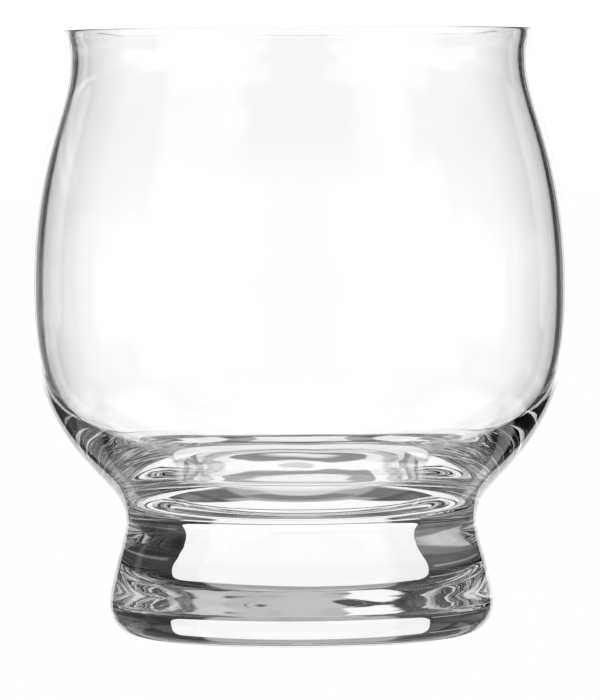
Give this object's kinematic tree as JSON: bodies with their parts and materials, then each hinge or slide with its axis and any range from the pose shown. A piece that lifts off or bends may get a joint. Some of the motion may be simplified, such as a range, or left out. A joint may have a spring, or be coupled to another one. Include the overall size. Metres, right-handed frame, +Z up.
{
  "type": "whiskey tumbler",
  "caption": "Clear glass whiskey tumbler: a thin bulb-shaped bowl with a slightly flared rim, narrowing to a waist above a heavy solid round foot.",
  "frame": {"origin": "centre of the circle that the foot stands on, on the surface under it", "axes": "+Z up along the axis of revolution; X and Y are interchangeable"},
  "size_m": [0.0876, 0.0876, 0.098],
  "materials": {
    "bowl_glass": "polished clear",
    "foot_glass": "polished clear"
  },
  "bodies": {
    "root": {"bowl": "bowl_glass", "foot": "foot_glass"}
  },
  "joints": []
}
